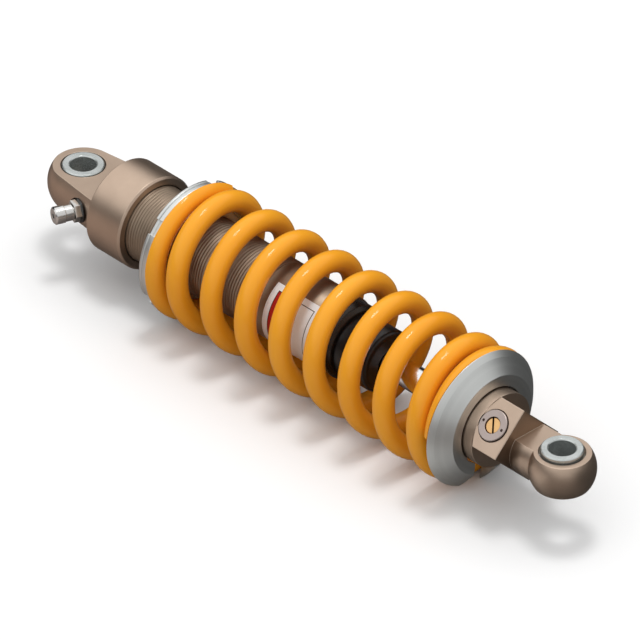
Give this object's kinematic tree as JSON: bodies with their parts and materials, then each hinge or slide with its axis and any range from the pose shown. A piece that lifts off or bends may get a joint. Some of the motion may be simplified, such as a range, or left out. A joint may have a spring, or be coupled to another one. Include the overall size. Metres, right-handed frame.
{
  "type": "coil-over shock absorber",
  "caption": "Gas charged damper inside a coil spring, with a threaded preload collar, a C-shaped spring seat, a slotted adjuster and a spherical bearing in each eye.",
  "frame": {"origin": "centre of the upper eye's bolt bore", "axes": "+X along the damper from the upper eye to the lower eye, +Z along the bolt bores of both eyes, the gas valve on the -Y side"},
  "size_m": [0.3313, 0.065, 0.065],
  "materials": {
    "bronze_anodised": "satin brown anodised",
    "black_anodised": "satin black anodised",
    "bare_aluminium": "turned, clear anodised",
    "clear_anodised": "satin clear anodised",
    "plated_steel": "zinc plated",
    "nickel_plated": "bright nickel plated",
    "rod_chrome": "hard chromed and polished",
    "spring_paint": "gloss powder coat over spring steel",
    "black_rubber": "matte",
    "seal_polyurethane": "satin",
    "guide_band": "matte",
    "brass": "turned",
    "label_film": "glossy printed film"
  },
  "bodies": {
    "damper_body": {"cylinder_head": "bronze_anodised", "head_oring": "black_rubber", "body_tube": "bronze_anodised", "body_label": "label_film", "gas_valve_body": "nickel_plated", "gas_valve_seal": "black_rubber", "gas_valve_core": "brass", "gas_valve_cap": "nickel_plated", "seal_head": "black_anodised", "seal_head_oring": "black_rubber", "rod_bushing": "brass", "rod_seal": "seal_polyurethane", "seal_clip": "plated_steel", "rod_wiper": "black_rubber", "bump_stop": "black_rubber", "upper_race": "plated_steel", "upper_circlip": "plated_steel"},
    "separator": {"separator_piston": "bare_aluminium", "separator_oring": "black_rubber", "separator_band": "guide_band"},
    "spring_washer": {"thrust_washer": "plated_steel"},
    "preload_rings": {"lock_ring": "bare_aluminium", "preload_nut": "bare_aluminium"},
    "lower_seat": {"spring_seat": "bare_aluminium", "coil_spring": "spring_paint"},
    "rod": {"piston_rod": "rod_chrome", "main_piston": "bare_aluminium", "piston_band": "guide_band", "compression_shims": "plated_steel", "rebound_shims": "plated_steel", "piston_nut": "plated_steel", "piston_washer": "plated_steel", "top_out_bumper": "black_rubber", "rod_eye": "bronze_anodised", "adjuster_ring": "clear_anodised", "lower_race": "plated_steel", "lower_circlip": "plated_steel"},
    "adjuster": {"adjuster_screw": "brass", "adjuster_oring": "black_rubber"},
    "wedge": {"adjuster_wedge": "brass"},
    "needle": {"metering_needle": "plated_steel", "needle_oring": "black_rubber"},
    "upper_bearing": {"upper_ball": "plated_steel"},
    "upper_sleeves": {"upper_sleeve_top": "plated_steel", "upper_sleeve_bottom": "plated_steel"},
    "lower_bearing": {"lower_ball": "plated_steel"},
    "lower_sleeves": {"lower_sleeve_top": "plated_steel", "lower_sleeve_bottom": "plated_steel"}
  },
  "joints": [
    {"name": "rod_slide", "type": "slide", "parent": "damper_body", "child": "lower_seat", "axis": [-1, 0, 0], "range_m": [0, 0.055], "stiffness_N_per_m": 80000, "deforming": ["coil_spring"]},
    {"name": "rod_twist", "type": "hinge", "parent": "lower_seat", "child": "rod", "pos_m": [0.26, 0, 0], "axis": [1, 0, 0], "continuous": true},
    {"name": "separator_slide", "type": "slide", "parent": "damper_body", "child": "separator", "axis": [-1, 0, 0], "range_m": [0, 0.0088]},
    {"name": "preload_slide", "type": "slide", "parent": "damper_body", "child": "spring_washer", "axis": [-1, 0, 0], "range_m": [0, 0.015]},
    {"name": "preload_turn", "type": "hinge", "parent": "spring_washer", "child": "preload_rings", "pos_m": [0.0713, 0, 0], "axis": [-1, 0, 0], "range_deg": [0, 3600]},
    {"name": "adjuster_turn", "type": "hinge", "parent": "rod", "child": "adjuster", "pos_m": [0.2704, 0, 0], "axis": [0, -0.7071, 0.7071], "range_deg": [-360, 360]},
    {"name": "wedge_slide", "type": "slide", "parent": "rod", "child": "wedge", "axis": [0, -0.7071, 0.7071], "range_m": [-0.0007, 0.0007]},
    {"name": "needle_slide", "type": "slide", "parent": "rod", "child": "needle", "axis": [-1, 0, 0], "range_m": [-0.00041, 0.00041]},
    {"name": "upper_tilt", "type": "hinge", "parent": "damper_body", "child": "upper_bearing", "pos_m": [0, 0, 0], "axis": [1, 0, 0], "range_deg": [-3, 3]},
    {"name": "upper_spin", "type": "hinge", "parent": "upper_bearing", "child": "upper_sleeves", "pos_m": [0, 0, 0], "axis": [0, 0, 1], "continuous": true},
    {"name": "lower_tilt", "type": "hinge", "parent": "rod", "child": "lower_bearing", "pos_m": [0.3, 0, 0], "axis": [1, 0, 0], "range_deg": [-4, 4]},
    {"name": "lower_spin", "type": "hinge", "parent": "lower_bearing", "child": "lower_sleeves", "pos_m": [0.3, 0, 0], "axis": [0, 0, 1], "continuous": true}
  ],
  "couplings": [
    {"joint": "separator_slide", "follows": "rod_slide", "ratio": 0.16},
    {"joint": "preload_slide", "follows": "preload_turn", "m_per_rad": 0.00023873},
    {"joint": "adjuster_turn", "follows": "wedge_slide", "rad_per_m": -8976},
    {"joint": "needle_slide", "follows": "wedge_slide", "ratio": 0.57735}
  ]
}
